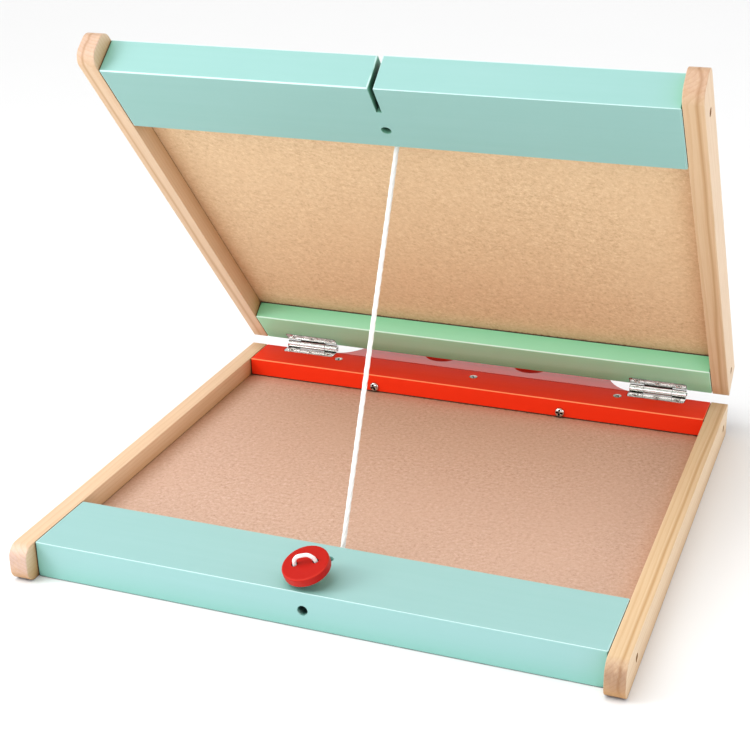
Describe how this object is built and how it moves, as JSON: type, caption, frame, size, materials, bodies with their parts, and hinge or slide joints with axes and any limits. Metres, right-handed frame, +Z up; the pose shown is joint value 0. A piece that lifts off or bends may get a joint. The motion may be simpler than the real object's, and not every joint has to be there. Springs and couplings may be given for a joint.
{
  "type": "folding tabletop easel",
  "caption": "Child's folding tabletop easel: two hinged wooden tray frames with writing boards outside, a cord stay, a button and cord closure and a carry handle",
  "frame": {"origin": "on the table under the middle of the whole open easel, handle included", "axes": "+X to the user's right along the hinge line, +Y from the user towards the hinges, +Z up"},
  "size_m": [0.346, 0.3604, 0.2812],
  "materials": {
    "pine": "clear satin lacquer on pale pine",
    "turquoise_paint": "satin turquoise paint on wood",
    "red_paint": "satin red paint on wood",
    "hardboard": "bare smooth brown hardboard",
    "whiteboard": "glossy dry-wipe laminate",
    "chalkboard": "matt chalkboard coating",
    "nickel": "bright nickel plate",
    "cotton": "twisted cotton cord"
  },
  "bodies": {
    "base": {"base_left_rail": "pine", "base_right_rail": "pine", "base_front_rail": "turquoise_paint", "base_back_rail": "red_paint", "base_tray_panel": "hardboard", "base_writing_board": "whiteboard", "base_left_corner_screw_1": "nickel", "base_left_corner_screw_2": "nickel", "base_right_corner_screw_1": "nickel", "base_right_corner_screw_2": "nickel", "base_left_hinge_leaf": "nickel", "base_left_hinge_screw_1": "nickel", "base_left_hinge_screw_2": "nickel", "base_left_hinge_screw_3": "nickel", "base_right_hinge_leaf": "nickel", "base_right_hinge_screw_1": "nickel", "base_right_hinge_screw_2": "nickel", "base_right_hinge_screw_3": "nickel", "base_stay_knot": "cotton", "top_screw_left": "nickel", "top_screw_middle": "nickel", "top_screw_right": "nickel", "carry_handle": "red_paint", "handle_screw_left": "nickel", "handle_screw_right": "nickel", "left_hinge_pin": "nickel", "right_hinge_pin": "nickel", "button_knot": "cotton", "stay_cord": "cotton"},
    "lid": {"lid_left_rail": "pine", "lid_right_rail": "pine", "lid_front_rail": "turquoise_paint", "lid_back_rail": "turquoise_paint", "lid_tray_panel": "hardboard", "lid_writing_board": "chalkboard", "lid_left_corner_screw_1": "nickel", "lid_left_corner_screw_2": "nickel", "lid_right_corner_screw_1": "nickel", "lid_right_corner_screw_2": "nickel", "lid_left_hinge_leaf": "nickel", "lid_left_hinge_screw_1": "nickel", "lid_left_hinge_screw_2": "nickel", "lid_left_hinge_screw_3": "nickel", "lid_right_hinge_leaf": "nickel", "lid_right_hinge_screw_1": "nickel", "lid_right_hinge_screw_2": "nickel", "lid_right_hinge_screw_3": "nickel", "lid_stay_knot": "cotton"},
    "button": {"closing_button": "red_paint", "button_cord": "cotton"}
  },
  "joints": [
    {"name": "lid_hinge", "type": "hinge", "parent": "base", "child": "lid", "pos_m": [0, 0.14245, 0.02385], "axis": [1, 0, 0], "range_deg": [0, 49.4], "deforming": ["stay_cord"]},
    {"name": "button_draw", "type": "slide", "parent": "base", "child": "button", "axis": [0, -0.997, -0.0779], "range_m": [0, 0.0321], "deforming": ["button_cord"]}
  ],
  "couplings": [
    {"joint": "button_draw", "follows": "lid_hinge", "m_per_rad": 0.037228}
  ]
}
